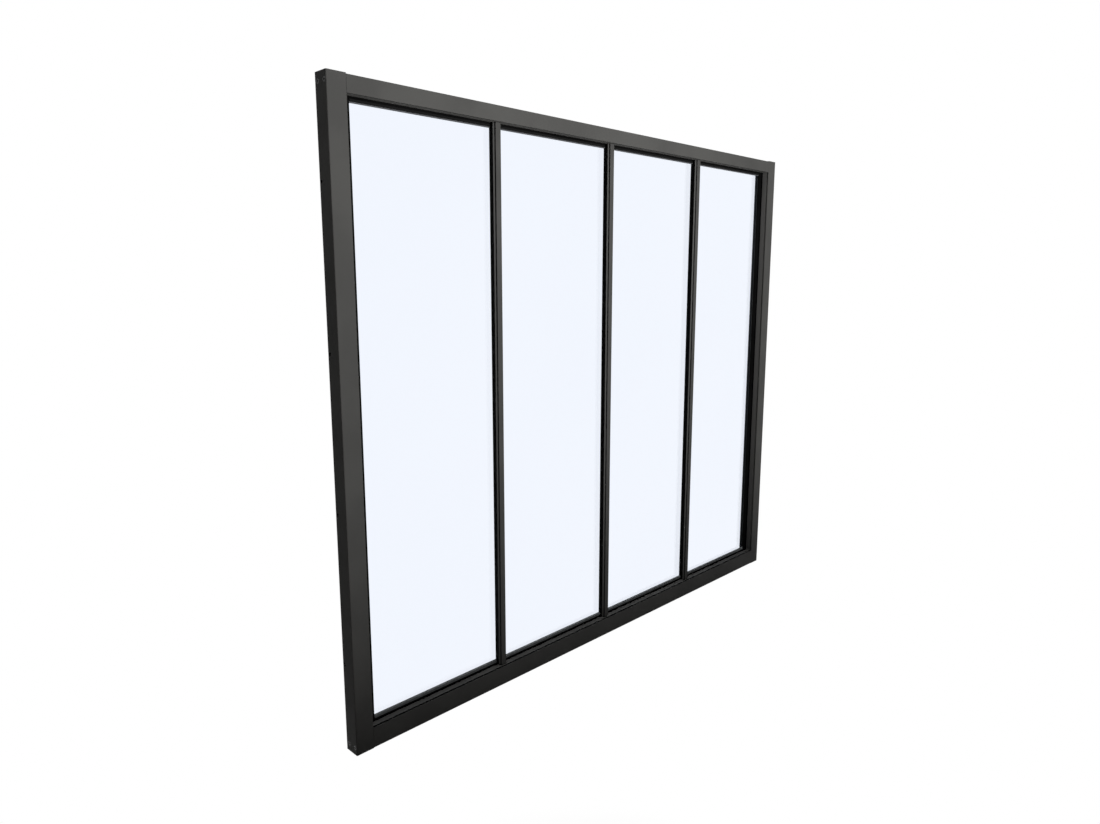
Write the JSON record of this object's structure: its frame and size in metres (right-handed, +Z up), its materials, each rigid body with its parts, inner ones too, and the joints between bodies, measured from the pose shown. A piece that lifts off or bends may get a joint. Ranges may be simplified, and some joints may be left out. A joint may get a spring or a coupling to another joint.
{
  "type": "fixed interior window",
  "caption": "Fixed rectangular interior window with a slim black frame, upright glazing bars and tall clear panes held by beads and seals.",
  "frame": {"origin": "middle of the sill's flat underside, half way through the depth of the frame", "axes": "+X to the right as seen from the room side, +Y from the room side to the back, +Z up"},
  "size_m": [1.25, 0.03, 1.05],
  "materials": {
    "frame_metal": "satin black powder coat",
    "bar_metal": "satin black powder coat",
    "bead_metal": "satin black powder coat",
    "clear_glass": "clear float glass",
    "seal_rubber": "matt black extruded seal",
    "setting_block_plastic": "moulded block"
  },
  "bodies": {
    "root": {"bar_1_carrier": "bar_metal", "bar_1_cover": "bar_metal", "bar_2_carrier": "bar_metal", "bar_2_cover": "bar_metal", "bar_3_carrier": "bar_metal", "bar_3_cover": "bar_metal", "front_seal_1": "seal_rubber", "front_seal_2": "seal_rubber", "front_seal_3": "seal_rubber", "front_seal_4": "seal_rubber", "head_bead_1": "bead_metal", "head_bead_2": "bead_metal", "head_bead_3": "bead_metal", "head_bead_4": "bead_metal", "head_rail": "frame_metal", "left_jamb": "frame_metal", "left_jamb_bead": "bead_metal", "pane_1": "clear_glass", "pane_2": "clear_glass", "pane_3": "clear_glass", "pane_4": "clear_glass", "rear_seal_1": "seal_rubber", "rear_seal_2": "seal_rubber", "rear_seal_3": "seal_rubber", "rear_seal_4": "seal_rubber", "right_jamb": "frame_metal", "right_jamb_bead": "bead_metal", "setting_blocks": "setting_block_plastic", "sill_bead_1": "bead_metal", "sill_bead_2": "bead_metal", "sill_bead_3": "bead_metal", "sill_bead_4": "bead_metal", "sill_rail": "frame_metal"}
  },
  "joints": []
}
